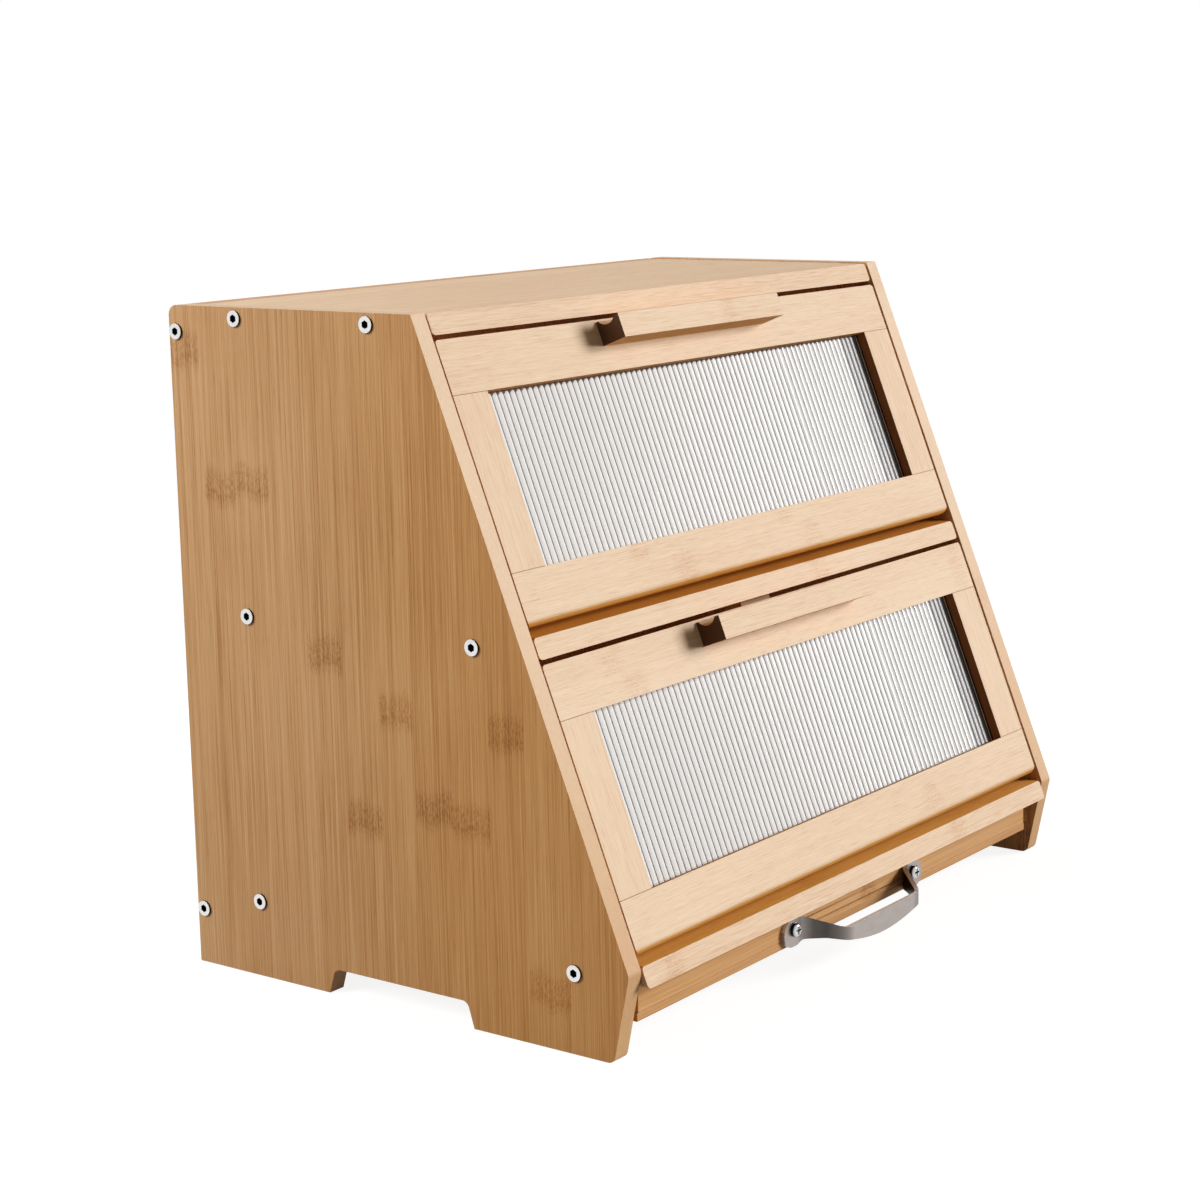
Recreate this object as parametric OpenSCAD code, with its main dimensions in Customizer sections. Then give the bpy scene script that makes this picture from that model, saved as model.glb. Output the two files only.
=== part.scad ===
// Two-bay bamboo bread box with a leaning front, two drop-down doors and a shallow drawer.
// X runs along the width, the front faces -Y, Z is up. The origin is on the ground,
// under the middle of the whole box. "Depth" is always measured forward from the rear face.

/* [Case] */
// Width over the two side panels
case_w = 400; // [340:1:460]
// Height of the side panels
case_h = 326; // [310:1:350]
// Thickness of every case board
board_t = 9.5; // [8:0.5:11]
// Depth of the side panels at the top
top_depth = 151.5; // [135:0.5:165]
// Depth of the side panels at the chin, where the front leans out furthest
chin_depth = 264.5; // [255:0.5:280]
// Height of the chin above the ground
chin_h = 41.5; // [38:0.5:44]
// How far the side panels rise above the top board
top_step = 0.5; // [0:0.1:2]
// Height of the drawer bay, from the ground to the bottom shelf
bay_h = 33.4; // [32:0.1:38]
// Height of the back panel's lower edge above the ground
back_clear = 16; // [12:0.5:20]
// Step back of the board noses behind the leaning front
nose_recess = 0.5; // [0:0.1:2]
// Gap between each end of a board's nose and the side panel
nose_inset = 1.6; // [0.5:0.1:3]
// Length of the narrower nose
nose_len = 16; // [8:1:24]
// Radius of the noses' corners, seen from the front
nose_corner_r = 2; // [0.5:0.5:4]
// Radius of the side panels' rear top corner
rear_corner_r = 5; // [2:0.5:10]
// Radius of the side panels' chin and front foot corner
front_corner_r = 4; // [2:0.5:6]

/* [Feet] */
// Step back of the front foot's toe behind the chin
toe_set = 8.8; // [3:0.1:14]
// Length of the rear foot on the ground
rear_foot_l = 86.8; // [60:0.1:100]
// Length of the gap between the feet on the ground
foot_gap_l = 89.4; // [60:0.1:100]
// Height of the gap between the feet
foot_gap_h = 12.5; // [9:0.5:14]
// Lean of the gap's two ends
foot_gap_lean = 3.8; // [0:0.1:6]
// Radius of the gap's upper corners
foot_gap_r = 4; // [2:0.5:5]

/* [Case bolts] */
// Diameter of a bolt's head
bolt_head_d = 7.6; // [7:0.1:9]
// Height of a bolt's head, which stands proud of the panel
bolt_head_h = 1.2; // [0.8:0.1:2]
// Diameter of a bolt's shank
bolt_d = 5; // [4:0.5:6]
// Length of a bolt under its head
bolt_l = 35; // [25:1:45]
// Width across the flats of a bolt's hex socket
bolt_key = 3.5; // [3:0.5:4]
// Distance from a board's rear end to its rear bolt
bolt_rear_inset = 34; // [25:0.5:45]
// Distance from a board's nose to its front bolt
bolt_front_inset = 27.5; // [22:0.5:40]
// Distance from the bottom shelf's nose to its front bolt
bottom_bolt_front_inset = 30.3; // [25:0.1:40]
// Distance from the back panel's top and bottom edges to its bolts
back_bolt_inset = 12; // [8:0.5:20]

/* [Doors] */
// Thickness of the door frames
door_t = 10; // [9.5:0.5:12]
// Step back of the doors behind the leaning front
door_recess = 0.4; // [0:0.1:1]
// Gap at each side of a door
door_side_gap = 1.5; // [1:0.1:3]
// Gap between a door's top edge and the board above
door_top_gap = 2.3; // [1.5:0.1:4]
// Gap between a door's bottom edge and the shelf's front edge, along the front
door_bottom_gap = 5.3; // [5:0.1:8]
// Width of the top rail
top_rail_w = 25.9; // [22:0.1:32]
// Width of the bottom rail
bottom_rail_w = 24.8; // [20:0.1:32]
// Width of the stiles
stile_w = 24.3; // [18:0.1:32]
// Radius of the doors' upper corners
door_top_r = 2; // [1:0.5:4]
// Radius of the doors' lower corners
door_low_r = 4; // [1:0.5:6]
// Radius of the bottom rail's front lower edge
rail_front_r = 3.5; // [2:0.5:4.5]

/* [Panes] */
// Thickness of a pane over its ribs
pane_t = 3; // [2.5:0.1:3.2]
// Height of the ribs
rib_h = 0.9; // [0.5:0.1:1.2]
// Distance from rib to rib
rib_pitch = 4.33; // [4:0.01:6]
// Depth of the ribs' crests behind the door's face
pane_set = 5.2; // [3:0.1:5.4]
// How far a pane enters the frame's grooves
pane_grip = 4.5; // [3:0.5:6]

/* [Door handles] */
// Length of a wooden handle
handle_l = 140; // [80:1:200]
// Height of a wooden handle, along the front
handle_h = 12.1; // [11:0.1:15]
// How far a wooden handle stands proud of its door
handle_reach = 14; // [12:0.5:20]
// Distance from the door's top edge to the handle
handle_drop = 1.3; // [0.5:0.1:4]
// Width of the finger scoop along the handle's top
scoop_w = 10; // [6:0.5:10]
// Depth of the finger scoop
scoop_depth = 3; // [1:0.5:3]
// Width of the flat left behind the scoop
scoop_back = 1.5; // [0.5:0.5:2]
// Distance between a handle's two screws
handle_screw_pitch = 100; // [50:1:120]

/* [Pivots] */
// Diameter of the steel pivot pins
pin_d = 4; // [3:0.5:5]
// Length of a pivot pin
pin_l = 20; // [16:1:30]
// How far a pin enters the side panel
pin_bite = 6; // [4:0.5:6.5]
// Radial clearance of a pin that turns in its side panel
pin_play = 0.05; // [0.03:0.01:0.1]

/* [Catches] */
// Width of a catch block
catch_w = 26; // [18:1:40]
// Height of a catch block under its board
catch_h = 13; // [12:0.5:18]
// Thickness of a catch block, square to the leaning front
catch_t = 12; // [8:0.5:20]
// Diameter of the catch magnet
magnet_d = 7; // [5:0.5:8]
// Length of the catch magnet
magnet_l = 5; // [3:0.5:7]
// How far the magnet stands out of its block
magnet_proud = 0.3; // [0:0.1:0.5]
// Air gap between a magnet and its strike plate
magnet_gap = 0.4; // [0.3:0.1:0.6]
// Thickness of a strike plate
strike_t = 1; // [0.8:0.1:1.5]
// Width of a strike plate
strike_w = 24; // [20:1:36]
// Height of a strike plate
strike_h = 8; // [7:0.5:10]

/* [Drawer] */
// Step back of the drawer's front face behind the chin
drawer_set = 7.5; // [6.5:0.5:14]
// Height of the drawer's lower face above the ground
drawer_z = 14.8; // [14.5:0.1:16]
// Gap between each side of the drawer and its guide
drawer_play = 3.2; // [1:0.1:5]
// Thickness of the drawer's front
drawer_front_t = 9.5; // [8:0.5:12]
// Thickness of the drawer's sides and back
drawer_side_t = 6; // [5:0.5:9]
// Thickness of the drawer's bottom board
drawer_bottom_t = 3.8; // [3:0.1:5]
// How far the bottom board stands out past each side
drawer_lip = 0.8; // [0:0.1:2]
// Gap between the drawer and the bottom shelf
drawer_top_gap = 0.8; // [0.5:0.1:2]
// Gap between the drawer's back and the back panel
drawer_rear_gap = 12; // [4:1:40]
// How much lower the sides and back are than the front
drawer_side_drop = 1; // [0:0.1:3]

/* [Drawer runners] */
// Sliding clearance between the drawer and its runners
runner_play = 0.3; // [0.2:0.1:0.6]
// Width of the guides beside the drawer
guide_w = 4; // [2:0.5:8]
// Step back of the guides' front ends behind the drawer's face
guide_set = 0.5; // [0:0.5:10]
// Width of the ledges that carry the drawer
ledge_w = 20; // [12:0.5:40]
// Thickness of the ledges
ledge_t = 3.8; // [3:0.1:4.2]
// Step back of the ledges behind the drawer's face
ledge_set = 14; // [10:1:40]

/* [Drawer pull] */
// Distance between the pull's two screws
pull_pitch = 114; // [96:1:128]
// How far the pull stands out from the drawer
pull_reach = 18.5; // [15:0.5:25]
// Thickness of the steel strap
pull_t = 2; // [1.5:0.1:2.5]
// Height of the pull's two round-ended plates
plate_h = 14; // [12:0.5:15]
// How far each plate reaches past its screw
plate_over = 9; // [8:0.5:10]
// Length of the straight grip
grip_l = 70; // [50:1:76]
// Run of each sloping leg along the drawer
leg_run = 14; // [10:1:18]
// Radius of the strap's bends, on its inner side
bend_r = 5.5; // [3:0.5:8]
// Height of the strap's narrow necks, at the legs
neck_h = 4.6; // [4:0.1:8]
// How far the grip's belly hangs below the necks
belly_h = 6.3; // [4:0.1:8]
// How far the belly's curve runs past each end of the grip
belly_over = 7; // [4:0.5:9]
// Height of the screws above the drawer's lower face
pull_screw_z = 8.4; // [7.5:0.1:10]
// How far the grip's upper edge lies below the plates' upper edge
grip_drop = 7.8; // [4:0.1:9]

/* [Small screws] */
// Diameter of the handle and pull screws
screw_d = 3.5; // [3:0.5:4]
// Length of the handle and pull screws under the head
screw_l = 17; // [14:1:19]
// Diameter of their pan heads
screw_head_d = 7; // [6:0.5:8]
// Height of their pan heads
screw_head_h = 2.5; // [1.8:0.1:2.8]

/* [Hidden] */

$fn = 48;
// Smallest overlap that makes a cut pass a surface cleanly
eps = 0.01;
// Clearance of a screw, pin or magnet in the hole that holds it
hold_gap = 0.05;
// Steps along a rounded corner
arc_steps = 6;

bamboo = [0.85, 0.70, 0.50];
bamboo_dark = [0.72, 0.54, 0.35];
steel = [0.70, 0.70, 0.71];
zinc = [0.80, 0.81, 0.82];
acrylic = [0.90, 0.93, 0.95, 0.55];

// The box's own frame
drawer_face_depth = chin_depth - drawer_set;
toe_depth = chin_depth - toe_set;
overall_d = max(chin_depth, drawer_face_depth + pull_reach);
rear_y = overall_d / 2;
inner_w = case_w - 2 * board_t;
lean = atan((chin_depth - top_depth) / (case_h - chin_h));

// Heights of the boards' lower faces, from the ground up
bay_clear = (case_h - top_step - bay_h - 3 * board_t) / 2;
bottom_shelf_z = bay_h;
middle_shelf_z = bottom_shelf_z + board_t + bay_clear;
top_board_z = middle_shelf_z + board_t + bay_clear;

// Places along the leaning front: distance down the slope from the panels' top corner
function slope_at(z, inward) = (case_h - z - inward * sin(lean)) / cos(lean);
door_w = inner_w - 2 * door_side_gap;
door_h = bay_clear / cos(lean) - door_top_gap - door_bottom_gap;
upper_door_s = slope_at(top_board_z, door_recess) + door_top_gap;
lower_door_s = slope_at(middle_shelf_z, door_recess) + door_top_gap;
window_w = door_w - 2 * stile_w;
window_h = door_h - top_rail_w - bottom_rail_w;
// The doors turn about the middle of their half-round lower edge
pivot_up = door_t / 2;

// Depth of the leaning front at a height, stepped back by inward
function front_depth(z, inward = 0) =
    top_depth + (case_h - z) * tan(lean) - inward / cos(lean);

// Places of the case bolts on a side panel, as [depth, height]
back_top_z = case_h - top_step;
function board_bolts(board_z, front_inset) = let (mid_z = board_z + board_t / 2) [
    [board_t + bolt_rear_inset, mid_z],
    [front_depth(mid_z, nose_recess) - front_inset, mid_z]];
case_bolts = concat(
    [[board_t / 2, back_clear + back_bolt_inset], [board_t / 2, back_top_z - back_bolt_inset]],
    board_bolts(top_board_z, bolt_front_inset),
    board_bolts(middle_shelf_z, bolt_front_inset),
    board_bolts(bottom_shelf_z, bottom_bolt_front_inset));

// Sizes of the drawer and its runners
drawer_w = inner_w - 2 * (guide_w + drawer_play);
drawer_top_z = bottom_shelf_z - drawer_top_gap;
drawer_wall_z = drawer_z + drawer_bottom_t;
drawer_back_depth = board_t + drawer_rear_gap;
ledge_top_z = drawer_z - runner_play;

// Strap of the drawer pull
plate_end = pull_pitch / 2 + plate_over;
leg_foot = grip_l / 2 + leg_run;

// A point list with each corner cut to an arc: p holds [x, y, radius]
function unit(v) = v / norm(v);
function corner_arc(a, b, c, r) =
    let (
        to_a = unit(a - b),
        to_c = unit(c - b),
        half = acos(max(-1, min(1, to_a * to_c))) / 2,
        centre = b + unit(to_a + to_c) * r / sin(half),
        first = b + to_a * r / tan(half) - centre,
        last = b + to_c * r / tan(half) - centre,
        start = atan2(first[1], first[0]),
        turn = atan2(last[1], last[0]) - start,
        sweep = turn > 180 ? turn - 360 : turn < -180 ? turn + 360 : turn)
    [for (i = [0:arc_steps]) let (t = start + sweep * i / arc_steps) centre + r * [cos(t), sin(t)]];
function flat(p) = [p[0], p[1]];
function rounded(p) =
    let (n = len(p))
    [for (i = [0:n - 1])
        each p[i][2] > 0
            ? corner_arc(flat(p[(i + n - 1) % n]), flat(p[i]), flat(p[(i + 1) % n]), p[i][2])
            : [flat(p[i])]];

// Extrudes a [depth, height] outline across the width, from x0 to x1
module across(x0, x1) {
    translate([x0, rear_y, 0]) rotate([90, 0, 90])
        linear_extrude(height = x1 - x0) mirror([1, 0]) children();
}

// Places children on the leaning front: local Y goes inward, local Z up the slope
module on_front(s = 0, inward = 0) {
    translate([0, rear_y - top_depth, case_h]) rotate([-lean, 0, 0])
        translate([0, inward, -s]) children();
}

// A box given by its two corners
module span(low, high) {
    translate(low) cube(high - low);
}

// A rod along +X
module rod_x(d, l) {
    rotate([0, 90, 0]) cylinder(d = d, h = l);
}

// A rod along +Y
module rod_y(d, l) {
    rotate([-90, 0, 0]) cylinder(d = d, h = l);
}

// ---- Case ----

module side_profile() {
    gap_end = rear_foot_l + foot_gap_l;
    polygon(rounded([
        [0, 0, 0],
        [0, case_h, rear_corner_r],
        [top_depth, case_h, 0],
        [chin_depth, chin_h, front_corner_r],
        [toe_depth, 0, front_corner_r],
        [gap_end, 0, 0],
        [gap_end - foot_gap_lean, foot_gap_h, foot_gap_r],
        [rear_foot_l + foot_gap_lean, foot_gap_h, foot_gap_r],
        [rear_foot_l, 0, 0]]));
}

// The left panel, with its bolt holes and the two blind pivot bores
module left_panel_body() {
    difference() {
        across(-case_w / 2, -inner_w / 2) side_profile();
        for (b = case_bolts)
            translate([-case_w / 2 - 1, rear_y - b[0], b[1]])
                rod_x(bolt_d + 2 * hold_gap, board_t + 2);
        for (s = [upper_door_s, lower_door_s])
            on_front(s + door_h - pivot_up, door_recess + door_t / 2)
                translate([-inner_w / 2 - pin_bite - 0.5, 0, 0])
                    rod_x(pin_d + 2 * pin_play, pin_bite + 0.5 + eps);
    }
}

module left_side_panel() {
    color(bamboo_dark) left_panel_body();
}

module right_side_panel() {
    color(bamboo_dark) mirror([1, 0, 0]) left_panel_body();
}

// A horizontal board from the back panel to the leaning front, with a narrower nose
module case_board(board_z, front_inset) {
    top_z = board_z + board_t;
    nose_top = front_depth(top_z, nose_recess);
    nose_low = front_depth(board_z, nose_recess);
    color(bamboo) difference() {
        union() {
            intersection() {
                across(-inner_w / 2 + nose_inset, inner_w / 2 - nose_inset)
                    polygon([[board_t, board_z], [board_t, top_z], [nose_top, top_z],
                        [nose_low, board_z]]);
                nose_outline(board_z);
            }
            across(-inner_w / 2, inner_w / 2)
                polygon([[board_t, board_z], [board_t, top_z], [nose_top - nose_len, top_z],
                    [nose_low - nose_len, board_z]]);
        }
        for (side = [-1, 1], b = board_bolts(board_z, front_inset))
            bolt_bore(side, b);
    }
}

// A board's outline with rounded corners, run through the whole depth of the box
module nose_outline(board_z) {
    w = inner_w / 2 - nose_inset;
    translate([0, rear_y, board_z]) rotate([90, 0, 0])
        linear_extrude(height = overall_d) polygon(rounded([
            [-w, 0, nose_corner_r],
            [w, 0, nose_corner_r],
            [w, board_t, nose_corner_r],
            [-w, board_t, nose_corner_r]]));
}

// The blind hole for a case bolt in the end of a board
module bolt_bore(side, place) {
    reach = bolt_l - board_t + 1;
    translate([side > 0 ? inner_w / 2 - reach : -inner_w / 2 - eps, rear_y - place[0], place[1]])
        rod_x(bolt_d + 2 * hold_gap, reach + eps);
}

module top_board() {
    case_board(top_board_z, bolt_front_inset);
}

module middle_shelf() {
    case_board(middle_shelf_z, bolt_front_inset);
}

module bottom_shelf() {
    case_board(bottom_shelf_z, bottom_bolt_front_inset);
}

module back_panel() {
    color(bamboo) difference() {
        span([-inner_w / 2, rear_y - board_t, back_clear], [inner_w / 2, rear_y, back_top_z]);
        for (side = [-1, 1], i = [0, 1])
            bolt_bore(side, case_bolts[i]);
    }
}

// A hex-socket furniture bolt along +X, with its head's inner face at the origin
module case_bolt() {
    socket_depth = 3;
    difference() {
        union() {
            translate([-bolt_head_h, 0, 0]) rod_x(bolt_head_d, bolt_head_h);
            rod_x(bolt_d, bolt_l);
        }
        translate([-bolt_head_h - eps, 0, 0]) rotate([0, 90, 0])
            cylinder(d = bolt_key / cos(30), h = socket_depth, $fn = 6);
    }
}

module left_case_bolts() {
    color(zinc) for (b = case_bolts)
        translate([-case_w / 2, rear_y - b[0], b[1]]) case_bolt();
}

module right_case_bolts() {
    mirror([1, 0, 0]) left_case_bolts();
}

// ---- Drawer runners ----

// The thin batten beside the drawer, under the bottom shelf
module right_drawer_guide() {
    color(bamboo_dark) span(
        [inner_w / 2 - guide_w, rear_y - drawer_face_depth + guide_set,
            drawer_wall_z + runner_play],
        [inner_w / 2, rear_y - board_t, bottom_shelf_z]);
}

module left_drawer_guide() {
    mirror([1, 0, 0]) right_drawer_guide();
}

// The ledge that the drawer slides on
module right_drawer_ledge() {
    color(bamboo_dark) span(
        [inner_w / 2 - ledge_w, rear_y - drawer_face_depth + ledge_set, ledge_top_z - ledge_t],
        [inner_w / 2, rear_y - board_t, ledge_top_z]);
}

module left_drawer_ledge() {
    mirror([1, 0, 0]) right_drawer_ledge();
}

// ---- Magnetic catches ----

catch_face = door_recess + door_t + strike_t + magnet_gap + magnet_proud;
strike_drop = catch_h / 2;

// A block under a board, behind the door's top edge, with the magnet's bore
module catch_block(board_z, door_s) {
    low_z = board_z - catch_h;
    color(bamboo) difference() {
        across(-catch_w / 2, catch_w / 2) polygon([
            [front_depth(board_z, catch_face), board_z],
            [front_depth(low_z, catch_face), low_z],
            [front_depth(low_z, catch_face + catch_t), low_z],
            [front_depth(low_z, catch_face + catch_t), board_z]]);
        on_front(door_s + strike_drop, catch_face - eps)
            rod_y(magnet_d + 2 * hold_gap, magnet_l + eps);
    }
}

module catch_magnet(door_s) {
    color(steel) on_front(door_s + strike_drop, catch_face - magnet_proud)
        rod_y(magnet_d, magnet_l);
}

// ---- Doors ----

// The door frame's outline, seen square to the leaning front
module door_face() {
    w = door_w / 2;
    polygon(rounded([
        [-w, 0, door_top_r],
        [w, 0, door_top_r],
        [w, -door_h, door_low_r],
        [-w, -door_h, door_low_r]]));
}

// The part of the door's outline between two distances from its top edge
module face_band(from, to) {
    rotate([90, 0, 0]) translate([0, 0, -door_t]) linear_extrude(height = door_t)
        intersection() {
            door_face();
            translate([-door_w / 2, -to]) square([door_w, to - from]);
        }
}

// The space that a pane and its groove take, grown by gap on every side
module pane_space(gap) {
    w = window_w / 2 + pane_grip + gap;
    top = top_rail_w - pane_grip - gap;
    low = door_h - bottom_rail_w + pane_grip + gap;
    span([-w, pane_set - gap, -low], [w, pane_set + pane_t + gap, -top]);
}

// A row of two screws at the middle of the handle, seen from the door's top edge
module at_handle_screws() {
    for (x = [-1, 1] * handle_screw_pitch / 2)
        translate([x, 0, -handle_drop - 0.6 * handle_h]) children();
}

// A row of two screws in the strike plate
module at_strike_screws() {
    for (x = [-1, 1] * (strike_w / 2 - 4))
        translate([x, 0, -strike_drop]) children();
}

module door_top_rail(door_s) {
    color(bamboo) on_front(door_s, door_recess) difference() {
        face_band(0, top_rail_w);
        pane_space(0.1);
        at_handle_screws() {
            translate([0, -eps, 0]) rod_y(screw_d + 2 * hold_gap, door_t + 1);
            translate([0, door_t - screw_head_h - 0.3, 0])
                rod_y(screw_head_d + 0.6, screw_head_h + 1);
        }
        at_strike_screws() translate([0, door_t - strike_screw_l - 0.5, 0])
            rod_y(strike_screw_d + 2 * hold_gap, strike_screw_l + 1);
    }
}

// The bottom rail, whose lower edge is rounded to swing clear of the shelf
module door_bottom_rail(door_s) {
    low = -door_h;
    up = -door_h + bottom_rail_w;
    color(bamboo) on_front(door_s, door_recess) difference() {
        intersection() {
            face_band(door_h - bottom_rail_w, door_h);
            translate([-door_w / 2, 0, 0]) rotate([90, 0, 90]) linear_extrude(height = door_w)
                polygon(rounded([
                    [0, up, 0],
                    [0, low, rail_front_r],
                    [door_t, low, pivot_up],
                    [door_t, up, 0]]));
        }
        pane_space(0.1);
        for (side = [-1, 1])
            translate([side > 0 ? door_w / 2 - pin_hold : -door_w / 2 - eps, door_t / 2,
                low + pivot_up])
                rod_x(pin_d + 2 * hold_gap, pin_hold + eps);
    }
}

module door_stile(door_s, side) {
    x0 = side < 0 ? -door_w / 2 : door_w / 2 - stile_w;
    color(bamboo) on_front(door_s, door_recess) difference() {
        span([x0, 0, -door_h + bottom_rail_w], [x0 + stile_w, door_t, -top_rail_w]);
        pane_space(0.1);
    }
}

// Outline of a ribbed pane, seen from above: ribs in front, flat at the back
function rib_outline(w) =
    let (
        count = floor(w / rib_pitch),
        start = -count * rib_pitch / 2,
        steps = 6)
    concat(
        [[-w / 2, pane_t], [-w / 2, rib_h]],
        [for (i = [0:count - 1], k = [0:steps - 1])
            [start + (i + k / steps) * rib_pitch, rib_h * (1 - sin(180 * k / steps))]],
        [[-start, rib_h], [w / 2, rib_h], [w / 2, pane_t]]);

module door_pane(door_s) {
    h = window_h + 2 * pane_grip;
    color(acrylic) on_front(door_s, door_recess)
        translate([0, pane_set, -top_rail_w + pane_grip - h])
            linear_extrude(height = h) polygon(rib_outline(window_w + 2 * pane_grip));
}

// A square bar with a finger scoop along its top
module door_handle(door_s) {
    scoop_r = (scoop_w * scoop_w / 4 + scoop_depth * scoop_depth) / (2 * scoop_depth);
    color(bamboo) on_front(door_s, door_recess) difference() {
        span([-handle_l / 2, -handle_reach, -handle_drop - handle_h],
            [handle_l / 2, 0, -handle_drop]);
        translate([-handle_l / 2 - 1, -scoop_back - scoop_w / 2,
            -handle_drop + scoop_r - scoop_depth])
            rod_x(2 * scoop_r, handle_l + 2);
        at_handle_screws() translate([0, -handle_screw_bite - 0.5, 0])
            rod_y(screw_d + 2 * hold_gap, handle_screw_bite + 1);
    }
}

// How far a handle screw enters the handle
handle_screw_bite = screw_l - (door_t - screw_head_h - 0.3);

// A pan-head screw along -Y, with its head's seat at the origin and a cross recess
module pan_screw() {
    difference() {
        union() {
            rotate([90, 0, 0]) cylinder(d = screw_d, h = screw_l);
            rod_y(screw_head_d, 0.6 * screw_head_h);
            translate([0, 0.6 * screw_head_h, 0]) rotate([-90, 0, 0])
                cylinder(d1 = screw_head_d, d2 = 0.7 * screw_head_d, h = 0.4 * screw_head_h);
        }
        for (turn = [0, 90]) rotate([0, turn, 0])
            translate([-0.3 * screw_head_d, 0.45 * screw_head_h, -0.5])
                cube([0.6 * screw_head_d, screw_head_h, 1]);
    }
}

module door_handle_screws(door_s) {
    color(zinc) on_front(door_s, door_recess + door_t - screw_head_h - 0.3)
        at_handle_screws() pan_screw();
}

strike_screw_d = 2.5;
strike_screw_l = 7;

module door_strike_plate(door_s) {
    color(zinc) on_front(door_s, door_recess + door_t) difference() {
        span([-strike_w / 2, 0, -strike_drop - strike_h / 2],
            [strike_w / 2, strike_t, -strike_drop + strike_h / 2]);
        at_strike_screws() {
            translate([0, -eps, 0]) rod_y(strike_screw_d + 2 * hold_gap, strike_t + 1);
            countersink(hold_gap);
        }
    }
}

// The cone under a strike screw's flush head
module countersink(gap) {
    rotate([-90, 0, 0]) cylinder(d1 = strike_screw_d + 2 * gap,
        d2 = strike_screw_d + 2 * gap + 2 * strike_t, h = strike_t);
}

module door_strike_screws(door_s) {
    color(zinc) on_front(door_s, door_recess + door_t) at_strike_screws() {
        countersink(0);
        translate([0, -strike_screw_l + strike_t, 0]) rod_y(strike_screw_d, strike_screw_l);
    }
}

// Part of a pivot pin that sits in the bottom rail
pin_hold = pin_l - pin_bite - door_side_gap + 0.5;

// The steel pins at both ends of the bottom rail, which turn in the side panels
module door_pivot_pins(door_s) {
    color(steel) on_front(door_s + door_h - pivot_up, door_recess + door_t / 2)
        for (side = [-1, 1])
            translate([side > 0 ? inner_w / 2 + pin_bite - pin_l : -inner_w / 2 - pin_bite, 0, 0])
                rod_x(pin_d, pin_l);
}

// ---- Drawer ----

module drawer_front() {
    color(bamboo_dark) difference() {
        span([-drawer_w / 2, rear_y - drawer_face_depth, drawer_wall_z],
            [drawer_w / 2, rear_y - drawer_face_depth + drawer_front_t, drawer_top_z]);
        at_pull_screws() translate([0, -1, 0])
            rod_y(screw_d + 2 * hold_gap, drawer_front_t + 2);
    }
}

// The wall between the front and the back, on the right
module drawer_right_side() {
    color(bamboo_dark) span(
        [drawer_w / 2 - drawer_side_t, rear_y - drawer_face_depth + drawer_front_t,
            drawer_wall_z],
        [drawer_w / 2, rear_y - drawer_back_depth, drawer_top_z - drawer_side_drop]);
}

module drawer_left_side() {
    mirror([1, 0, 0]) drawer_right_side();
}

module drawer_back() {
    w = drawer_w / 2 - drawer_side_t;
    color(bamboo_dark) span(
        [-w, rear_y - drawer_back_depth - drawer_side_t, drawer_wall_z],
        [w, rear_y - drawer_back_depth, drawer_top_z - drawer_side_drop]);
}

// The bottom board shows as a lower band under the front, and its lips run in the runners
module drawer_bottom() {
    w = drawer_w / 2 + drawer_lip;
    color(bamboo) span(
        [-w, rear_y - drawer_face_depth, drawer_z],
        [w, rear_y - drawer_back_depth, drawer_wall_z]);
}

// The two screw places on the drawer's face
module at_pull_screws() {
    for (x = [-1, 1] * pull_pitch / 2)
        translate([x, rear_y - drawer_face_depth, drawer_z + pull_screw_z]) children();
}

// The strap's plan: plates flat on the drawer, sloping legs and a straight grip
module strap_plan() {
    leg = atan2(pull_reach - pull_t, leg_run);
    shift = pull_t * tan(leg / 2);
    inner = bend_r;
    outer = bend_r + pull_t;
    right_side = [
        [plate_end + 1, 0, 0],
        [plate_end + 1, pull_t, 0],
        [leg_foot + shift / 2, pull_t, inner],
        [grip_l / 2 + shift / 2, pull_reach, outer]];
    right_back = [
        [grip_l / 2 - shift / 2, pull_reach - pull_t, inner],
        [leg_foot - shift / 2, 0, outer]];
    left_side = [for (i = [3:-1:0]) [-right_side[i][0], right_side[i][1], right_side[i][2]]];
    left_back = [for (i = [1:-1:0]) [-right_back[i][0], right_back[i][1], right_back[i][2]]];
    polygon(rounded(concat(right_side, left_side, left_back, right_back)));
}

// The strap's front view: round-ended plates that stand on the drawer's lower edge, narrow necks
// and a hanging belly
module strap_face() {
    grip_top = plate_h - grip_drop;
    neck_low = grip_top - neck_h;
    belly_half = grip_l / 2 + belly_over;
    belly_steps = 20;
    belly = [for (i = [0:belly_steps]) let (u = i / belly_steps)
        [(2 * u - 1) * belly_half, neck_low - belly_h * sin(180 * u),
            i == 0 || i == belly_steps ? 8 : 0]];
    end_r = plate_h / 2 - eps;
    low_end = leg_foot + 1;
    plate_start = leg_foot + 5.5;
    polygon(rounded(concat(
        [[-plate_end, 0, end_r],
            [-plate_end, plate_h, end_r],
            [-leg_foot - 2, plate_h, 14],
            [-grip_l / 2, grip_top, 14],
            [grip_l / 2, grip_top, 14],
            [leg_foot + 2, plate_h, 14],
            [plate_end, plate_h, end_r],
            [plate_end, 0, end_r],
            [plate_start, 0, 6],
            [low_end, neck_low, 6]],
        [for (i = [belly_steps:-1:0]) belly[i]],
        [[-low_end, neck_low, 6],
            [-plate_start, 0, 6]])));
}

// The steel strap pull: its plan and its front view cut from one another
module drawer_pull() {
    color(steel) translate([0, rear_y - drawer_face_depth, drawer_z]) difference() {
        intersection() {
            mirror([0, 1, 0]) translate([0, 0, -10]) linear_extrude(height = 40) strap_plan();
            rotate([90, 0, 0]) translate([0, 0, -1]) linear_extrude(height = pull_reach + 2)
                strap_face();
        }
        for (x = [-1, 1] * pull_pitch / 2) translate([x, -pull_t - 1, pull_screw_z])
            rod_y(screw_d + 2 * hold_gap, pull_t + 2);
    }
}

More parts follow.
